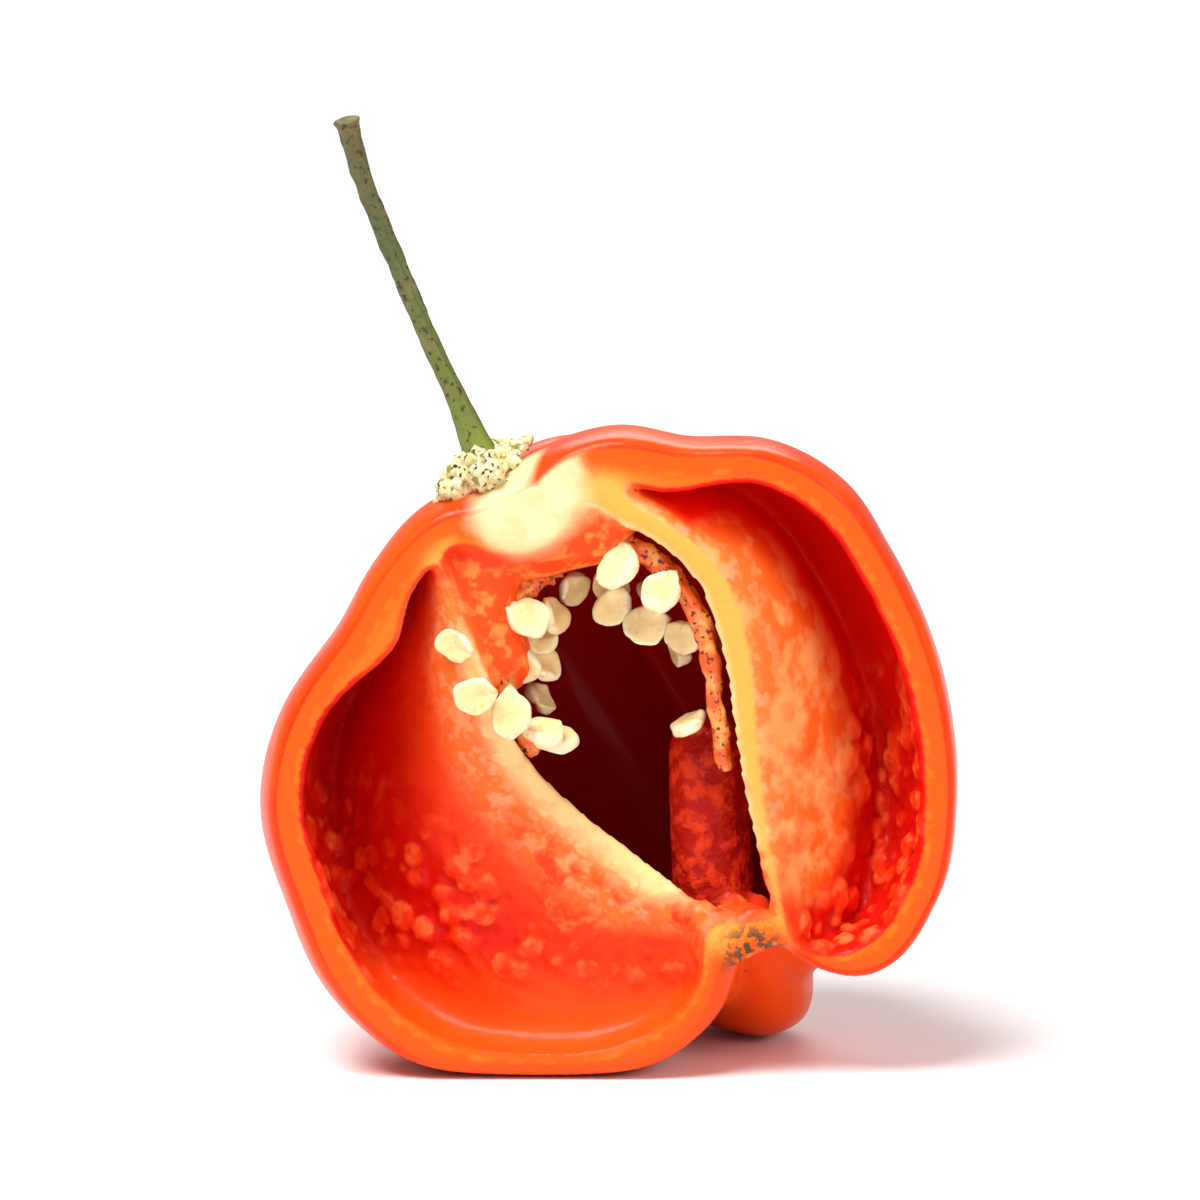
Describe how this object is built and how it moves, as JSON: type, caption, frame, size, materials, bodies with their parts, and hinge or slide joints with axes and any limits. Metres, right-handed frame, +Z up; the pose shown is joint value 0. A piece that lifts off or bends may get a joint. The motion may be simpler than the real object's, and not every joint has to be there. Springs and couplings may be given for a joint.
{
  "type": "cut chilli pepper half",
  "caption": "Half of a bonnet-shaped chilli pepper cut lengthwise, with lobed hollow flesh, pale placenta with seeds, and a thin stalk.",
  "frame": {"origin": "centre of the bounding box's base, on the surface that the half stands on", "axes": "+Z up, -Y out of the cut face, and +X to the right of someone who looks at the cut"},
  "size_m": [0.045, 0.0274, 0.0621],
  "materials": {
    "flesh": "glossy",
    "placenta_and_seeds": "satin",
    "stalk_and_calyx": "matte"
  },
  "bodies": {
    "root": {"flesh": "flesh", "placenta_and_seeds": "placenta_and_seeds", "stalk_and_calyx": "stalk_and_calyx"}
  },
  "joints": []
}
